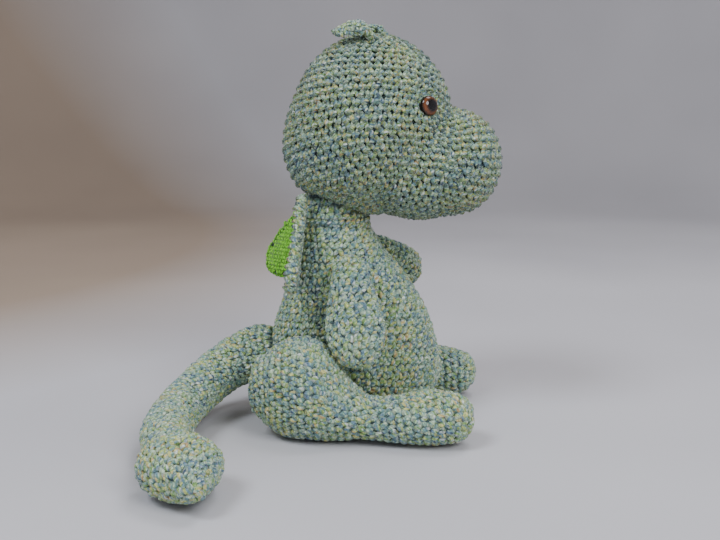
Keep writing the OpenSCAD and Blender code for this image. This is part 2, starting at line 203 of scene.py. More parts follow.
def yarn_material(name, ply_one, ply_two, twist_turns, fluff):
    """Two plies of dyed wool twisted round each other, with loose fibres on them; the colour is
    multiplied by painted shade and painted fibre highlights.
    """
    n = Nodes(name)
    run = n.attribute("run")
    shade = n.attribute("shade")
    along = n.add("ShaderNodeUVMap", uv_map="yarn").outputs[0]
    split = n.add("ShaderNodeSeparateXYZ")
    n.put(split.inputs[0], along)
    patch = n.noise(48.0, 3.0, vector=n.place(), rough=0.6)
    drift = n.maths("MULTIPLY_ADD", patch, 0.8, -0.40)
    first = n.ramp(n.maths("ADD", n.noise(2.2, 2.0, w=run, rough=0.6), drift), ply_one)
    later = n.maths("ADD", run, 431.7)
    second = n.ramp(n.noise(1.9, 2.0, w=later, rough=0.6), ply_two)
    turns = n.maths("MULTIPLY", split.outputs[0], twist_turns)
    turned = n.maths("ADD", turns, n.maths("MULTIPLY", split.outputs[1], 2.0))
    wave = n.maths("SINE", n.maths("MULTIPLY", turned, math.tau))
    ply = n.maths("MULTIPLY_ADD", wave, 0.9, 0.5, clamp=True)
    colour = n.mix(ply, first, second)
    stretch = n.add("ShaderNodeVectorMath", operation="MULTIPLY")
    n.put(stretch.inputs[0], along)
    stretch.inputs[1].default_value = (0.45, 3.6, 1.0)
    offset = n.add("ShaderNodeVectorMath", operation="ADD")
    n.put(offset.inputs[0], stretch.outputs[0])
    n.put(offset.inputs[1], run)
    fibres = n.noise(2.3, 3.0, vector=offset.outputs[0], rough=0.65)
    # fibre brightness, partly random fibre tone and partly painted highlights on the fibres, times
    # the shade attribute, which is painted shade; it multiplies the ply colour
    light = n.maths("MULTIPLY_ADD", fibres, 2.5, -0.25)
    lit = n.maths("MULTIPLY", light, shade)
    grey = n.add("ShaderNodeCombineColor")
    for socket in grey.inputs[:3]:
        n.put(socket, lit)
    colour = n.mix(1.0, colour, grey.outputs[0], "MULTIPLY")
    n.put(n.shader.inputs["Base Color"], colour)
    ridges = n.maths("ABSOLUTE", n.maths("SINE", n.maths("MULTIPLY", turned, math.pi)))
    height = n.maths("MULTIPLY_ADD", fibres, 0.8, ridges)
    n.bump(height, fluff)
    n.shader.inputs["Roughness"].default_value = 0.92
    n.shader.inputs["Specular IOR Level"].default_value = 0.15
    n.shader.inputs["Sheen Weight"].default_value = 0.25
    n.shader.inputs["Sheen Roughness"].default_value = 0.5
    return n.material


def fibre_material():
    n = Nodes("polyester_fibre")
    tufts = n.noise(140, 6.0, vector=n.place(), rough=0.7)
    strands = n.noise(900, 3.0, vector=n.place(), rough=0.6)
    both = n.maths("MULTIPLY_ADD", strands, 0.5, tufts)
    colour = n.ramp(both, [(0.4, (0.62, 0.61, 0.58)), (0.9, (0.86, 0.86, 0.84))])
    n.put(n.shader.inputs["Base Color"], colour)
    n.bump(both, 0.0012)
    n.shader.inputs["Roughness"].default_value = 0.95
    n.shader.inputs["Sheen Weight"].default_value = 0.4
    return n.material


def amber_material():
    n = Nodes("amber_plastic")
    swirl = n.noise(420, 3.0, vector=n.place())
    amber = n.ramp(swirl, [(0.3, (0.080, 0.022, 0.008)), (0.75, (0.22, 0.070, 0.020))])
    middle = n.attribute("from_middle")
    rings = [(0.52, (0.0, 0.0, 0.0)), (0.62, (0.35,) * 3), (0.80, (1.0,) * 3),
             (0.90, (0.55,) * 3), (0.97, (0.03,) * 3)]
    colour = n.mix(1.0, amber, n.ramp(middle, rings), "MULTIPLY")
    colour = n.mix(1.0, colour, (0.004, 0.003, 0.003, 1), "ADD")
    n.put(n.shader.inputs["Base Color"], colour)
    n.shader.inputs["Roughness"].default_value = 0.06
    n.shader.inputs["Specular IOR Level"].default_value = 0.3
    n.shader.inputs["Coat Weight"].default_value = 0.3
    n.shader.inputs["Coat Roughness"].default_value = 0.03
    return n.material


def black_material(name, low, high, rough):
    n = Nodes(name)
    cloud = n.noise(700, 3.0, vector=n.place())
    colour = n.ramp(cloud, [(0.3, (low,) * 3), (0.8, (high,) * 3)])
    n.put(n.shader.inputs["Base Color"], colour)
    n.put(n.shader.inputs["Roughness"], n.maths("MULTIPLY_ADD", cloud, 0.1, rough))
    return n.material


TWEED = yarn_material("marled_yarn", PLY_ONE, PLY_TWO, 0.3, 0.0006)
LIME_ONE = [(0.3, (0.13, 0.46, 0.015)), (0.7, (0.24, 0.66, 0.035))]
LIME_TWO = [(0.3, (0.17, 0.56, 0.025)), (0.7, (0.32, 0.74, 0.06))]
LIME = yarn_material("lime_yarn", LIME_ONE, LIME_TWO, 0.3, 0.0003)
FIBRE = fibre_material()
AMBER = amber_material()
PUPIL_BLACK = black_material("black_gloss", 0.004, 0.012, 0.08)
FITTING_BLACK = black_material("black_moulding", 0.02, 0.04, 0.45)


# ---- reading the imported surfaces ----


def node_tree(node):
    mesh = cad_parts[node].data
    points = [v.co.copy() for v in mesh.vertices]
    return BVHTree.FromPolygons(points, [tuple(p.vertices) for p in mesh.polygons])


def node_points(node):
    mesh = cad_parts[node].data
    co = np.zeros(len(mesh.vertices) * 3)
    mesh.vertices.foreach_get("co", co)
    return co.reshape(-1, 3)


class Surface:
    """The outside of a node as meridians from a start pole to an end pole."""

    def __init__(self, grid):
        self.grid = smooth_ring(grid, 2)
        step = np.linalg.norm(np.diff(self.grid, axis=0), axis=2)
        self.reach = np.concatenate([np.zeros((1, grid.shape[1])), step.cumsum(0)])
        self.length = self.reach[-1]
        self.count = grid.shape[1]

    def meridian_points(self, share):
        """One point on each meridian, at the same share of its length."""
        out = np.zeros((self.count, 3))
        for k in range(self.count):
            for axis in range(3):
                out[k, axis] = np.interp(
                    share * self.length[k], self.reach[:, k], self.grid[:, k, axis]
                )
        return out

    def ring(self, share):
        """A closed ring of points, and its running length."""
        points = self.meridian_points(share)
        closed = np.vstack([points, points[:1]])
        run = np.concatenate([[0], np.linalg.norm(np.diff(closed, axis=0), axis=1).cumsum()])
        return closed, run

    def on_ring(self, share, places):
        """Points at these shares of the ring's own length."""
        closed, run = self.ring(share)
        return np.stack(
            [np.interp((places % 1.0) * run[-1], run, closed[:, a]) for a in range(3)], 1
        )


def outside_hit(trees, origin, ray, reach, thickness):
    """How far the outside of the skin is from origin along ray."""
    skin, filling = trees
    start = origin + ray * reach
    found = []
    for tree in (skin, filling):
        hit = tree.ray_cast(Vector(start), Vector(-ray), reach) if tree else (None,)
        found.append(None if hit[0] is None else float((np.array(hit[0]) - origin) @ ray))
    outer, inner = found
    if inner is not None and (outer is None or outer < inner + 0.6 * thickness):
        return inner + thickness
    return outer


def cast_grid(node, filling, rays, reach, thickness=FABRIC):
    """rays: (origins, directions), each n_along x n_round x 3, in metres."""
    trees = (node_tree(node), node_tree(filling) if filling else None)
    origins, ways = rays
    far = np.full(ways.shape[:2], np.nan)
    for i in range(ways.shape[0]):
        for k in range(ways.shape[1]):
            value = outside_hit(trees, origins[i, k], ways[i, k], reach, thickness)
            if value is not None:
                far[i, k] = value
    for row in far:
        good = np.flatnonzero(~np.isnan(row))
        if len(good) == 0:
            continue
        row[:] = np.interp(
            np.arange(len(row)), good, row[good], period=len(row)
        )
    keep = ~np.isnan(far).any(1)
    return origins[keep] + ways[keep] * far[keep][..., None]


def pole_rays(centre, pole, front, low, high, along=90, around=88):
    """Rays from one point: 0 degrees is the start pole, 180 the end pole."""
    a = unit(np.array(pole, float))
    f = np.array(front, float)
    f = unit(f - a * (f @ a))
    s = np.cross(a, f)
    phi = np.radians(np.linspace(low, high, along))[:, None, None]
    theta = np.linspace(0, math.tau, around, endpoint=False)[None, :, None]
    ways = np.cos(phi) * a + np.sin(phi) * (np.cos(theta) * f + np.sin(theta) * s)
    return np.broadcast_to(np.array(centre, float), ways.shape).copy(), ways


def spine_rays(spine, front, caps=(True, True), step=1.6 * MM, around=64, cap_rays=22):
    """Rays square to a line of points, with a fan of rays over each closed end."""
    spine = np.array(spine, float)
    run = np.concatenate([[0], np.linalg.norm(np.diff(spine, axis=0), axis=1).cumsum()])
    count = max(6, int(run[-1] / step))
    at = np.linspace(0, run[-1], count)
    line = np.stack([np.interp(at, run, spine[:, a]) for a in range(3)], 1)
    for _ in range(6):
        line[1:-1] = (line[:-2] + 2 * line[1:-1] + line[2:]) / 4
    ahead = unit(np.gradient(line, axis=0))
    across = np.zeros_like(line)
    last = np.array(front, float)
    for k in range(count):
        last = unit(last - ahead[k] * (last @ ahead[k]))
        across[k] = last
    third = np.cross(ahead, across)
    theta = np.linspace(0, math.tau, around, endpoint=False)[None, :, None]
    round_ways = np.cos(theta) * across[:, None] + np.sin(theta) * third[:, None]
    origins = np.broadcast_to(line[:, None], round_ways.shape)
    parts_o, parts_w = [origins], [round_ways]
    for end, which in ((0, -1.0), (-1, 1.0)):
        if not caps[end]:
            continue
        lean = np.radians(np.linspace(4, 90, cap_rays, endpoint=False))[::-1][:, None, None]
        ways = np.sin(np.pi / 2 - lean) * round_ways[end][None]
        ways = ways + np.cos(np.pi / 2 - lean) * which * ahead[end]
        place = np.broadcast_to(line[end], ways.shape)
        if end == 0:
            parts_o.insert(0, place)
            parts_w.insert(0, ways)
        else:
            parts_o.append(place[::-1])
            parts_w.append(ways[::-1])
    return np.concatenate(parts_o), np.concatenate(parts_w)


def node_axis(node, margin, towards):
    """Two points inside a slim node, on its own long axis, ordered along towards."""
    points = node_points(node)
    middle = (points.min(0) + points.max(0)) / 2
    _, _, ways = np.linalg.svd(points - points.mean(0), full_matrices=False)
    way = ways[0] * np.sign(ways[0] @ np.array(towards, float))
    along = (points - middle) @ way
    return middle + way * (along.min() + margin), middle + way * (along.max() - margin)


# ---- laying stitches ----


class Yarn:
    """Short lengths of yarn, gathered and then made into one mesh."""

    def __init__(self):
        self.paths, self.outs, self.wides, self.thicks = [], [], [], []
        self.runs, self.shades = [], []

    def add(self, paths, outs, wides, thicks, runs, shades):
        self.paths.append(paths)
        self.outs.append(outs)
        self.wides.append(wides)
        self.thicks.append(thicks)
        self.runs.append(runs)
        self.shades.append(shades)

    def gathered(self):
        groups = (self.paths, self.outs, self.wides, self.thicks, self.runs, self.shades)
        return [np.concatenate(g) for g in groups]


# one leg of a stitch: sideways and upward shares of the stitch, and depth in metres
LEG_SIDE = np.array([0.02, 0.10, 0.24, 0.38, 0.50, 0.56])
LEG_RISE = np.array([-0.70, -0.45, -0.14, 0.18, 0.38, 0.44])
LEG_DEEP = np.array([-2.3, -1.15, -0.60, -0.65, -1.2, -2.4]) * MM
LEG_WIDE = np.array([0.55, 0.92, 1.08, 1.08, 0.92, 0.5])
# LEG_SHADE is painted shade along a leg: darker at both ends, where the yarn dives into the fabric,
# and a little lighter on its raised middle as a painted highlight
LEG_SHADE = np.array([0.45, 0.85, 1.05, 1.05, 0.85, 0.4])


def lay_stitches(yarn, place, across, up, out, wide, tall, run, full=YARN_WIDE):
    """Two legs for each stitch, opening upwards like a V."""
    count = len(place)
    size = np.clip(np.sqrt(wide * tall) / math.sqrt(STITCH_WIDE * STITCH_TALL), 0.45, 1.15)
    if full != YARN_WIDE:
        size = np.clip(size * YARN_WIDE / full, 0.3, 1.2)
    turn = rng.normal(0, 0.13, count)
    c, s = np.cos(turn)[:, None], np.sin(turn)[:, None]
    across, up = across * c + up * s, up * c - across * s
    place = place + across * (rng.normal(0, 0.06, count) * wide)[:, None]
    place = place + up * (rng.normal(0, 0.06, count) * tall)[:, None]
    for side in (-1.0, 1.0):
        spread = rng.normal(1.0, 0.1, (count, 1)) * wide[:, None]
        rise = rng.normal(1.0, 0.1, (count, 1)) * tall[:, None]
        lift = rng.normal(0, 0.2 * MM, (count, 1))
        if side < 0:
            lift = lift + 0.15 * MM
        paths = (
            place[:, None]
            + across[:, None] * (side * LEG_SIDE[None] * spread)[..., None]
            + up[:, None] * (LEG_RISE[None] * rise)[..., None]
            + out[:, None]
            * ((LEG_DEEP[None] * size[:, None] + lift * LEG_WIDE[None]))[..., None]
        )
        outs = np.broadcast_to(out[:, None], paths.shape)
        fat = rng.normal(1.0, 0.09, (count, 1)) * size[:, None]
        wides = LEG_WIDE[None] * fat * full
        thicks = LEG_WIDE[None] * fat * full * YARN_THICK / YARN_WIDE
        shades = np.broadcast_to(LEG_SHADE[None], wides.shape)
        yarn.add(paths, outs, wides, thicks, run + (side > 0) * 0.45, shades)


def rows_of(surface, first, last, wide, tall, drift):
    """Every stitch of rounds from share first to last of the surface."""
    length = float(np.mean(surface.length))
    rows = max(2, int(round(length * (last - first) / tall)))
    step = (last - first) / rows
    phase, runs = 0.0, 0.0
    out = []
    for r in range(rows):
        share = first + (r + 0.5) * step
        _, run = surface.ring(share)
        count = max(4, int(round(run[-1] / wide)))
        phase = (phase + drift / count) % 1.0
        places = (np.arange(count) + 0.5) / count + phase
        here = surface.on_ring(share, places)
        side = 0.35 / count
        across = unit(surface.on_ring(share, places + side) - surface.on_ring(share, places - side))
        # the way up: the next share on the same meridian
        angle = np.interp(
            (places % 1.0) * run[-1], run, np.arange(len(run), dtype=float)
        )
        low = surface.meridian_points(max(share - step * 0.5, 0.0))
        high = surface.meridian_points(min(share + step * 0.5, 1.0))
        climb = high - low
        left = np.floor(angle).astype(int) % surface.count
        part = (angle - np.floor(angle))[:, None]
        up = climb[left] * (1 - part) + climb[(left + 1) % surface.count] * part
        height = np.linalg.norm(up, axis=1)
        up = unit(up)
        face = unit(np.cross(across, up))
        up = unit(np.cross(face, across))
        out.append(
            (here, across, up, face, np.full(count, run[-1] / count), height,
             runs + np.arange(count) * 1.0)
        )
        runs += count
    return [np.concatenate([row[k] for row in out]) for k in range(7)]


def cover(yarn, surface, first=0.0, last=1.0, skip=None, outward=1.0, full=YARN_WIDE,
          wide=STITCH_WIDE, tall=STITCH_TALL):
    here, across, up, face, wides, talls, runs = rows_of(
        surface, first, last, wide, tall, ROW_DRIFT
    )
    face = face * outward
    if skip is not None:
        keep = ~skip(here, face)
        here, across, up, face = here[keep], across[keep], up[keep], face[keep]
        wides, talls, runs = wides[keep], talls[keep], runs[keep]
    lay_stitches(yarn, here, across, up, face, wides, talls, runs + rng.uniform(0, 900), full)
    return len(here)


# ---- turning yarn into meshes ----


def tube_mesh(yarn):
    """Arrays for closed tubes: vertices, faces, run, shade, yarn UV and bake UV."""
    paths, outs, wides, thicks, runs, shades = yarn.gathered()
    n, k = paths.shape[:2]
    m = YARN_SIDES
    ahead = unit(np.gradient(paths, axis=1))
    side = unit(np.cross(ahead, outs))
    top = np.cross(side, ahead)
    turn = np.arange(m) / m * math.tau
    ring = (
        paths[:, :, None]
        + side[:, :, None] * (np.cos(turn) * wides[:, :, None])[..., None]
        + top[:, :, None] * (np.sin(turn) * thicks[:, :, None])[..., None]
    )
    base = (np.arange(n) * k * m)[:, None, None]
    i = np.arange(k - 1)[None, :, None]
    j = np.arange(m)[None, None, :]
    a = base + i * m + j
    b = base + i * m + (j + 1) % m
    quads = np.stack([a, b, b + m, a + m], -1).reshape(-1, 4)
    length = np.concatenate(
        [np.zeros((n, 1)), np.linalg.norm(np.diff(paths, axis=1), axis=2).cumsum(1)], 1
    ) / MM
    u0 = np.broadcast_to(length[:, :-1, None], (n, k - 1, m))
    u1 = np.broadcast_to(length[:, 1:, None], (n, k - 1, m))
    v0 = np.broadcast_to(np.arange(m) / m, (n, k - 1, m))
    v1 = v0 + 1 / m
    yarn_uv = np.stack(
        [np.stack([u0, v0], -1), np.stack([u0, v1], -1), np.stack([u1, v1], -1),
         np.stack([u1, v0], -1)], -2
    ).reshape(-1, 2)
    cells = int(math.ceil(math.sqrt(n)))
    cell = 1.0 / cells
    corner = np.stack([np.arange(n) % cells, np.arange(n) // cells], 1) * cell
    fill = cell * 0.94
    s0 = np.broadcast_to(np.arange(k - 1)[:, None] / (k - 1), (k - 1, m))
    t0 = np.broadcast_to(np.arange(m)[None] / m, (k - 1, m))
    ds, dt = 1 / (k - 1), 1 / m
    quad = np.stack(
        [np.stack([s0, t0], -1), np.stack([s0, t0 + dt], -1),
         np.stack([s0 + ds, t0 + dt], -1), np.stack([s0 + ds, t0], -1)], -2
    )
    bake_uv = (corner[:, None, None, None] + quad[None] * fill + cell * 0.03).reshape(-1, 2)
    start = (base[:, 0, 0][:, None] + np.arange(m)[None, ::-1])
    end = (base[:, 0, 0][:, None] + (k - 1) * m + np.arange(m)[None])
    caps = np.stack([start, end], 1).reshape(-1, m)
    cap_yarn = np.zeros((len(caps) * m, 2))
    cap_bake = np.repeat(corner + cell * 0.03, 2 * m, axis=0)
    spin = np.tile(np.stack([np.cos(turn), np.sin(turn)], 1), (len(caps), 1))
    cap_bake = cap_bake + (spin + 1) * cell * 0.01
    vert_run = np.repeat(runs, k * m).astype(np.float32)
    vert_run = vert_run + np.repeat(length.reshape(-1) / 12.0, m).astype(np.float32)
    vert_shade = np.repeat(shades.reshape(-1), m).astype(np.float32)
    return {
        "points": ring.reshape(-1, 3),
        "quads": quads,
        "caps": caps,
        "run": vert_run,
        "shade": vert_shade,
        "yarn": np.concatenate([yarn_uv, cap_yarn]),
        "bake": np.concatenate([bake_uv, cap_bake]),
    }


def base_mesh(node, sink):
    """The node's own skin, drawn in a little, as the fabric between the stitches; make_piece
    darkens it as painted shade.
    """
    work = bmesh.new()
    work.from_mesh(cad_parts[node].data)
    bmesh.ops.remove_doubles(work, verts=work.verts, dist=0.00002)
    bmesh.ops.triangulate(work, faces=work.faces)
    work.normal_update()
    moved = [v.co - v.normal * sink for v in work.verts]
    points = np.array(moved)
    work.verts.index_update()
    faces = np.array([[v.index for v in f.verts] for f in work.faces])
    work.free()
    return points, faces


def make_piece(name, yarn, material, body, node=None, sink=1.1 * MM):
    """One object: the tubes, and under them the base fabric, darkened as painted shade in the gaps.
    """
    made = tube_mesh(yarn)
    points, quads, caps = made["points"], made["quads"], made["caps"]
    run, shade, yarn_uv, bake = made["run"], made["shade"], made["yarn"], made["bake"]
    tris = np.zeros((0, 3), int)
    share = 0.86 if node else 1.0
    bake = bake * np.array([1.0, share])
    if node:
        base_points, base_faces = base_mesh(node, sink)
        tris = base_faces + len(points)
        points = np.concatenate([points, base_points])
        run = np.concatenate([run, np.full(len(base_points), 7.3)])
        # the base fabric is drawn at half brightness: painted shade in the gaps between the
        # stitches
        shade = np.concatenate([shade, np.full(len(base_points), 0.5)])
        flat = base_points[base_faces].reshape(-1, 3) / MM
        yarn_uv = np.concatenate([yarn_uv, flat[:, [0, 2]] * 0.2])
        count = len(base_faces)
        wide = int(math.ceil(math.sqrt(count / 0.13)))
        high = int(math.ceil(count / wide))
        col, row = np.arange(count) % wide, np.arange(count) // wide
        low = np.stack([col / wide, 0.865 + 0.13 * row / high], 1)
        size = np.array([1 / wide, 0.13 / high])
        tri = np.array([[0.1, 0.1], [0.9, 0.1], [0.1, 0.9]])
        bake = np.concatenate([bake, (low[:, None] + tri[None] * size).reshape(-1, 2)])
    mesh = bpy.data.meshes.new(name)
    sizes = np.concatenate(
        [np.full(len(quads), 4), np.full(len(caps), YARN_SIDES), np.full(len(tris), 3)]
    )
    loops = np.concatenate([quads.ravel(), caps.ravel(), tris.ravel()])
    mesh.vertices.add(len(points))
    mesh.vertices.foreach_set("co", points.astype(np.float32).ravel())
    mesh.loops.add(len(loops))
    mesh.loops.foreach_set("vertex_index", loops.astype(np.int32))
    mesh.polygons.add(len(sizes))
    starts = np.concatenate([[0], sizes.cumsum()[:-1]])
    mesh.polygons.foreach_set("loop_start", starts.astype(np.int32))
    mesh.update(calc_edges=True)
    mesh.polygons.foreach_set("use_smooth", np.ones(len(sizes), bool))
    for label, values in (("run", run), ("shade", shade)):
        mesh.attributes.new(label, "FLOAT", "POINT").data.foreach_set(
            "value", values.astype(np.float32)
        )
    for label, values in (("OFBake", bake), ("yarn", yarn_uv)):
        mesh.uv_layers.new(name=label).data.foreach_set(
            "uv", values.astype(np.float32).ravel()
        )
    mesh.materials.append(material)
    mesh.validate()
    piece = bpy.data.objects.new(name, mesh)
    bpy.context.scene.collection.objects.link(piece)
    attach(piece, body)
    if node:
        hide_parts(node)
    return piece


# ---- the stuffed parts ----


def mm(*values):
    """Millimetres as an array in the scene's metres."""
    return np.array(values, float) * MM


def neck_hole(points, faces):
    """Inside the round opening where the head is sewn to the body."""
    return np.linalg.norm(points - mm(0, 6.5, 126), axis=1) < 20.6 * MM


def tucked_under(node, room=2.2 * MM):
    """A test for stitches that lie against the inside of another part."""
    tree = node_tree(node)

    def test(points, faces):
        hits = [tree.ray_cast(Vector(p), Vector(f), room)[0] for p, f in zip(points, faces)]
        return np.array([h is not None for h in hits])

    return test


def head():
    crown, chin = mm(0, -17, 228), mm(0, -33, 121)
    centre = mm(0, -28, 172)
    rays = pole_rays(centre, crown - chin, (0, -1, 0), 0.5, 179.5, 110, 96)
    surface = Surface(cast_grid("head_shell", "head_stuffing", rays, 0.13))
    yarn = Yarn()
    # start at the chin, so that the stitches open towards the crown
    surface = Surface(surface.grid[::-1, ::-1].copy())
    cover(yarn, surface, skip=neck_hole)
    return make_piece("head_crochet", yarn, TWEED, "head", "head_shell")


def body():
    spine = [mm(0, -6, 20), mm(0, -6.5, 45), mm(0, -6, 65), mm(0, -2.6, 85.7),
             mm(0, 3.7, 106), mm(0, 6.3, 120), mm(0, 6.5, 128), mm(0, 6.5, 138)]
    rays = spine_rays(spine, (0, -1, 0), caps=(True, False), around=88, cap_rays=40)
    surface = Surface(cast_grid("body_shell", "body_stuffing", rays, 0.09))
    yarn = Yarn()
    cover(yarn, surface, skip=tucked_under("head_shell"))
    return make_piece("body_crochet", yarn, TWEED, "body", "body_shell")


def slim(name, node, filling, body_name, towards, margin, reach, front):
    """An arm, or another slim stuffed piece, worked from its outer end."""
    start, end = node_axis(node, margin, towards)
    rays = spine_rays([start, (start + end) / 2, end], front)
    surface = Surface(cast_grid(node, filling, rays, reach))
    yarn = Yarn()
    cover(yarn, surface)
    return make_piece(name, yarn, TWEED, body_name, node)


def leg(side):
    which = "right" if side < 0 else "left"
    stations = [(50, 25, 28.6), (50.5, 14, 30), (51, 3, 27), (52, -6, 21),
                (52.4, -16, 16.2), (52, -27, 14.2), (50.6, -40, 14.8), (49, -55, 16),
                (48.4, -65, 16.2)]
    turn = math.radians(-4.0)
    spine = []
    for x, y, z in stations[::-1]:
        dx, dy = side * x - side * 50, y - 14
        spine.append(mm(side * 50 + dx * math.cos(turn) - dy * math.sin(turn),
                        14 + dx * math.sin(turn) + dy * math.cos(turn), z))
    rays = spine_rays(spine, (0, 0, 1), around=64)
    node = f"{which}_leg_shell"
    surface = Surface(cast_grid(node, f"{which}_leg_stuffing", rays, 0.05))
    yarn = Yarn()
    cover(yarn, surface)
    return make_piece(f"{which}_leg_crochet", yarn, TWEED, f"{which}_leg", node)


def tail():
    spine = [mm(-125, 71.3, 13.2), mm(-110, 79, 13.3), mm(-95, 84.5, 13.6), mm(-62, 88.5, 15),
             mm(-36, 85.5, 18.8), mm(-16, 76.5, 26), mm(-4, 65, 32.4), mm(0, 53, 36),
             mm(0, 43, 38)]
    rays = spine_rays(spine, (0, 0, 1), caps=(True, False), around=48)
    surface = Surface(cast_grid("tail_shell", "tail_stuffing", rays, 0.032))
    yarn = Yarn()
    cover(yarn, surface, skip=tucked_under("body_shell"))
    return make_piece("tail_crochet", yarn, TWEED, "tail", "tail_shell")


def tail_tip():
    way = np.array([math.cos(math.radians(208)), math.sin(math.radians(208)), 0])
    root = mm(-125, 71.3, 15.6)
    spine = [root + way * d * MM for d in (46, 38, 24, 12, 6)]
    rays = spine_rays(spine, (0, 0, 1), caps=(True, False), around=48)
    surface = Surface(cast_grid("tail_tip_shell", "tail_tip_stuffing", rays, 0.05))
    yarn = Yarn()
    cover(yarn, surface)
    return make_piece("tail_tip_crochet", yarn, TWEED, "tail_tip", "tail_tip_shell")


def ear(side):
    which = "right" if side < 0 else "left"
    node = f"{which}_ear"
    start, end = node_axis(node, 3.5 * MM, (0, -1, 0))
    rays = spine_rays([start, (start + end) / 2, end], (0, 0, 1), step=0.8 * MM, around=40)
    surface = Surface(cast_grid(node, None, rays, 0.02))
    yarn = Yarn()
    cover(yarn, surface, full=1.1 * MM, wide=3.9 * MM, tall=3.4 * MM)
    return make_piece(node + "_crochet", yarn, TWEED, node, node, 0.8 * MM)


# ---- wings ----


def flat_frame(node):
    """Middle, two in-plane ways (span, up), and a normal to the panel."""
    points = node_points(node)
    middle = points.mean(0)
    _, _, ways = np.linalg.svd(points - middle, full_matrices=False)
    normal = ways[2]
    up = np.array([0, 0, 1.0])
    up = unit(up - normal * (up @ normal))
    return middle, np.cross(up, normal), up, normal


def panel_stitches(yarn, nodes, plane, wide, tall, full):
    """Flat rows of stitches over one face of a panel."""
    middle, across, up, normal = plane
    trees = [node_tree(node) for node in nodes]
    points = node_points(nodes[0]) - middle
    low_u, high_u = (points @ across).min(), (points @ across).max()
    low_v, high_v = (points @ up).min(), (points @ up).max()
    rows = int((high_v - low_v) / tall)
    step = (high_v - low_v) / rows
    here, level = [], []

    def top_hit(start):
        hits = [t.ray_cast(Vector(start), Vector(-normal), 0.06)[0] for t in trees]
        hits = [np.array(h) for h in hits if h is not None]
        return max(hits, key=lambda h: h @ normal) if hits else None

    # a stitch needs panel under its whole width and height
    reaches = [across * wide * 0.5, -across * wide * 0.5, up * step * 0.5, -up * step * 0.6]
    for r in range(rows):
        v = low_v + (r + 0.5) * step
        for u in np.arange(low_u + (r * ROW_DRIFT % 1) * wide, high_u, wide):
            start = middle + across * u + up * v + normal * 0.03
            hit = top_hit(start)
            if hit is None or any(top_hit(start + reach) is None for reach in reaches):
                continue
            here.append(hit)
            level.append(hit @ normal)
    here, level = np.array(here), np.array(level)
    here = here[level > level.max() - 1.5 * MM]
    n = len(here)
    lay_stitches(
        yarn, here, np.tile(across, (n, 1)), np.tile(up, (n, 1)), np.tile(normal, (n, 1)),
        np.full(n, wide), np.full(n, step), np.arange(n) + 55.0, full,
    )


def rim_stitches(yarn, node, plane, wide, low, high, full):
    """One round of stitches along the edge of a panel, between two shares of its thickness."""
    middle, across, up, normal = plane
    tree = node_tree(node)
    points = node_points(node)
    level = (points - middle) @ normal
    height = (level.max() - level.min()) * (high - low)
    centre = middle + normal * (level.min() + (level.max() - level.min()) * (low + high) / 2)
    turn = np.linspace(0, math.tau, 120, endpoint=False)
    ways = np.cos(turn)[:, None] * across + np.sin(turn)[:, None] * up
    edge = []
    for way in ways:
        hit = tree.ray_cast(Vector(centre + way * 0.05), Vector(-way), 0.05)[0]
        edge.append(centre + way * 0.01 if hit is None else np.array(hit))
    edge = np.array(edge)
    closed = np.vstack([edge, edge[:1]])
    run = np.concatenate([[0], np.linalg.norm(np.diff(closed, axis=0), axis=1).cumsum()])
    count = int(round(run[-1] / wide))

    def at(places):
        places = places % 1.0 * run[-1]
        return np.stack([np.interp(places, run, closed[:, a]) for a in range(3)], 1)

    places = (np.arange(count) + 0.5) / count
    here = at(places)
    ahead = unit(at(places + 0.4 / count) - at(places - 0.4 / count))
    out = unit(np.cross(ahead, normal))
    out = out * np.sign(((here - centre) * out).sum(1))[:, None]
    lay_stitches(
        yarn, here - out * 0.4 * MM, ahead, np.tile(normal, (count, 1)), out,
        np.full(count, run[-1] / count), np.full(count, height * 0.85),
        np.arange(count) + 300.0, full,
    )


def wing(side):
    """Tweed front and rim and green lining of one wing; the left lining reaches the rim."""
    which = "right" if side < 0 else "left"
    front, lining = f"{which}_wing_front", f"{which}_wing_lining"
    middle, _, up, normal = flat_frame(front)
    away = middle - node_points(lining).mean(0)
    normal = normal * np.sign(normal @ away)
    plane = (middle, np.cross(up, normal), up, normal)
    yarn = Yarn()
    panel_stitches(yarn, [front], plane, *WING_GAUGE)
    rim_stitches(yarn, front, plane, WING_GAUGE[1], -0.05 if side < 0 else 0.3, 1.05, RIM_YARN)
    make_piece(f"{which}_wing_tweed", yarn, TWEED, f"{which}_wing", front, 0.8 * MM)
    plane = (middle, np.cross(up, -normal), up, -normal)
    yarn = Yarn()
    if side < 0:
        panel_stitches(yarn, [lining], plane, *LINING_GAUGE)
    else:
        panel_stitches(yarn, [front, lining], plane, *LINING_GAUGE)
        rim_stitches(yarn, front, plane, LINING_GAUGE[0], 0.58, 1.02, LINING_GAUGE[2])
    make_piece(f"{which}_wing_green", yarn, LIME, f"{which}_wing", lining, 0.5 * MM)


# ---- neck seam ----


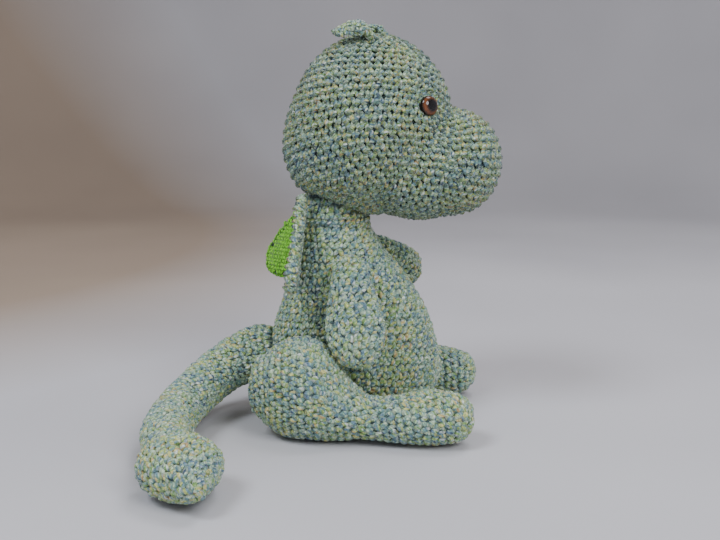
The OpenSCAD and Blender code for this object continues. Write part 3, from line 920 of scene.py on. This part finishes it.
def neck_seam():
    """Small slanting whip stitches round the neck, under the head."""
    yarn = Yarn()
    count = SEAM_STITCHES
    turn = (np.arange(count) + rng.uniform(-0.2, 0.2, count)) / count * math.tau
    shares = np.linspace(-1, 1, 6)
    angle = turn[:, None] + shares[None] * 0.07
    height = SEAM_HEIGHT + shares[None] * 1.9 * MM + np.zeros((count, 1))
    deep = SEAM_RADIUS - (shares[None] ** 2) * 1.3 * MM + np.zeros((count, 1))
    paths = np.stack(
        [np.sin(angle) * deep, NECK_BACK - np.cos(angle) * deep, height], -1
    )
    outs = np.stack([np.sin(angle), -np.cos(angle), np.zeros_like(angle)], -1)
    wide = LEG_WIDE[None] * MM + np.zeros((count, 1))
    # painted shade along each whip stitch, as on a stitch leg, made a little darker overall
    shade = LEG_SHADE[None] * 0.9 + np.zeros((count, 1))
    yarn.add(paths, outs, wide, wide, np.arange(count) * 1.3 + 20, shade)
    piece = make_piece("neck_whip_stitches", yarn, TWEED, "neck")
    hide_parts("neck_seam")
    return piece


# ---- filling and eyes ----


def filling(node, body_name):
    """Loose fibre: the filling's own form, with a lumpy surface."""
    work = bmesh.new()
    work.from_mesh(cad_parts[node].data)
    bmesh.ops.remove_doubles(work, verts=work.verts, dist=0.00002)
    bmesh.ops.triangulate(work, faces=work.faces)
    bmesh.ops.subdivide_edges(work, edges=work.edges, cuts=1, use_grid_fill=True)
    work.normal_update()
    for v in work.verts:
        lump = noise.fractal(v.co * 90, 1.0, 2.0, 3) * 0.5 + 0.5
        v.co -= v.normal * (0.3 + 1.3 * max(lump, 0.0)) * MM
    mesh = bpy.data.meshes.new(node + "_fibre")
    work.to_mesh(mesh)
    work.free()
    mesh.polygons.foreach_set("use_smooth", np.ones(len(mesh.polygons), bool))
    mesh.materials.append(FIBRE)
    piece = bpy.data.objects.new(node + "_fibre", mesh)
    bpy.context.scene.collection.objects.link(piece)
    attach(piece, body_name)
    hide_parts(node)
    return piece


def eye_dome(which):
    """The domed eye: clear amber over a black centre, drawn as rings of one colour each."""
    points = node_points(f"{which}_eye_lens")
    base = node_points(f"{which}_eye_pupil").mean(0)
    way = unit(base - node_points(f"{which}_eye_post").mean(0))
    side = unit(np.cross(way, (0, 0, 1.0)))
    top = np.cross(side, way)
    level = (points - base) @ way
    low, high = level.min(), level.max()
    wide = np.linalg.norm((points - base) - level[:, None] * way, axis=1).max()
    profile = [(0.0, low), (wide * 0.9, low), (wide, low + 0.15 * MM), (wide, low + 0.8 * MM)]
    for k in range(1, 15):
        a = k / 14 * math.pi / 2
        rise = low + 0.8 * MM + (high - low - 0.8 * MM) * math.sin(a)
        profile.append((wide * math.cos(a) ** 0.92 if k < 14 else 0.0, rise))
    work = bmesh.new()
    share = work.verts.layers.float.new("from_middle")
    around = 56
    rings = []
    for radius, rise in profile:
        ring = []
        for k in range(around if radius > 0 else 1):
            a = k / around * math.tau
            place = base + way * rise + (side * math.cos(a) + top * math.sin(a)) * radius
            vert = work.verts.new(place)
            vert[share] = radius / wide
            ring.append(vert)
        rings.append(ring)
    for first, second in zip(rings, rings[1:]):
        for k in range(around):
            j = (k + 1) % around
            if len(first) == 1:
                work.faces.new((first[0], second[j], second[k]))
            elif len(second) == 1:
                work.faces.new((first[k], first[j], second[0]))
            else:
                work.faces.new((first[k], first[j], second[j], second[k]))
    bmesh.ops.recalc_face_normals(work, faces=work.faces)
    mesh = bpy.data.meshes.new(f"{which}_eye_dome")
    work.to_mesh(mesh)
    work.free()
    mesh.polygons.foreach_set("use_smooth", np.ones(len(mesh.polygons), bool))
    mesh.materials.append(AMBER)
    piece = bpy.data.objects.new(f"{which}_eye_dome", mesh)
    bpy.context.scene.collection.objects.link(piece)
    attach(piece, "head")
    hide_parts(f"{which}_eye_lens")


def paint(node, material):
    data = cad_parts[node].data
    data.materials.clear()
    data.materials.append(material)
    data.polygons.foreach_set("use_smooth", np.ones(len(data.polygons), bool))


# ---- stage and light ----


def sweep():
    """A pale paper floor that curves up into a backdrop all round, with painted shade towards a
    warm corner and further back.
    """
    profile = [(0.0, 0.0), (0.5, 0.0), (1.1, 0.0)]
    bend = 0.5
    for k in range(1, 13):
        a = k / 12 * math.pi / 2
        profile.append((1.1 + bend * math.sin(a), bend * (1 - math.cos(a))))
    profile.append((1.6, 1.6))
    work = bmesh.new()
    rings = []
    sides = 96
    for radius, height in profile[1:]:
        rings.append([
            work.verts.new((radius * math.cos(a), radius * math.sin(a), height))
            for a in np.arange(sides) / sides * math.tau
        ])
    work.faces.new(rings[0])
    for low, high in zip(rings, rings[1:]):
        for k in range(sides):
            j = (k + 1) % sides
            work.faces.new((low[k], high[k], high[j], low[j]))
    mesh = bpy.data.meshes.new("paper_sweep")
    work.to_mesh(mesh)
    work.free()
    mesh.polygons.foreach_set("use_smooth", np.ones(len(mesh.polygons), bool))
    n = Nodes("paper")
    cloud = n.noise(3.0, 2.0, vector=n.place())
    grain = n.noise(900, 2.0, vector=n.place())
    both = n.maths("MULTIPLY_ADD", grain, 0.15, cloud)
    colour = n.ramp(both, [(0.3, (0.50, 0.49, 0.52)), (0.9, (0.60, 0.59, 0.62))])
    # painted shade: the paper turns warmer and darker towards a corner on the +Y side, standing in
    # for dim warm light there
    corner = n.add("ShaderNodeVectorMath", operation="DISTANCE")
    n.put(corner.inputs[0], n.place())
    corner.inputs[1].default_value = (0.6, 1.0, 0.2)
    warm_corner_shade = n.ramp(corner.outputs["Value"], [(0.74, (0.66, 0.52, 0.38)), (1.05, (1, 1, 1))])
    colour = n.mix(1.0, colour, warm_corner_shade, "MULTIPLY")
    # painted shade: the paper darkens further back along +X
    parts = n.add("ShaderNodeSeparateXYZ")
    n.put(parts.inputs[0], n.place())
    away = n.maths("MULTIPLY", parts.outputs[0], 0.5)
    colour = n.mix(1.0, colour, n.ramp(away, [(0.2, (1, 1, 1)), (0.6, (0.70,) * 3)]), "MULTIPLY")
    n.put(n.shader.inputs["Base Color"], colour)
    n.bump(grain, 0.0001, 0.3)
    n.shader.inputs["Roughness"].default_value = 0.8
    mesh.materials.append(n.material)
    floor = bpy.data.objects.new("paper_sweep", mesh)
    floor.location = (0, 0, 0)
    bpy.context.scene.collection.objects.link(floor)


def area_light(name, place, aim, size, power, colour):
    """One disk lamp at a place, turned towards its aim."""
    data = bpy.data.lights.new(name, "AREA")
    data.shape = "DISK"
    data.size = size
    data.energy = power
    data.color = colour
    light = bpy.data.objects.new(name, data)
    light.location = place
    light.rotation_mode = "QUATERNION"
    light.rotation_quaternion = (Vector(aim) - Vector(place)).to_track_quat("-Z", "Y")
    bpy.context.scene.collection.objects.link(light)


def lights():
    """A dim warm room and three soft disk lamps inside the backdrop."""
    world = bpy.data.worlds.new("soft_room")
    world.use_nodes = True
    back = world.node_tree.nodes["Background"]
    back.inputs[0].default_value = (1.0, 0.90, 0.80, 1)
    back.inputs[1].default_value = 0.42
    bpy.context.scene.world = world
    area_light("key", (-0.95, 0.80, 1.6), (0, 0, 0.1), 0.7, 20, (0.86, 0.93, 1.0))
    area_light("fill", (-0.95, -0.75, 0.95), (0, -0.03, 0.14), 0.7, 12.5, (0.95, 0.97, 1.0))
    area_light("top", (0.3, -0.5, 1.7), (0, 0, 0.1), 0.8, 10, (0.90, 0.93, 1.0))


# ---- putting it together ----

PADDED = [head(), body(), leg(-1), leg(1), tail(), tail_tip()]
PADDED.append(slim("right_arm_crochet", "right_arm_shell", "right_arm_stuffing", "right_arm",
                   (0, 0, 1), 8 * MM, 0.03, (0, -1, 0)))
PADDED.append(slim("left_arm_crochet", "left_arm_shell", "left_arm_stuffing", "left_arm",
                   (0, 0.3, 1), 8 * MM, 0.03, (0, -1, 0)))
for which_side in (-1, 1):
    ear(which_side)
    wing(which_side)
neck_seam()
for part in ("head", "body", "right_arm", "left_arm", "right_leg", "left_leg", "tail", "tail_tip"):
    filling(part + "_stuffing", part)
for which_name in ("right", "left"):
    eye_dome(which_name)
    paint(which_name + "_eye_pupil", PUPIL_BLACK)
    paint(which_name + "_eye_post", FITTING_BLACK)
paint("eye_washers", FITTING_BLACK)
sweep()
lights()
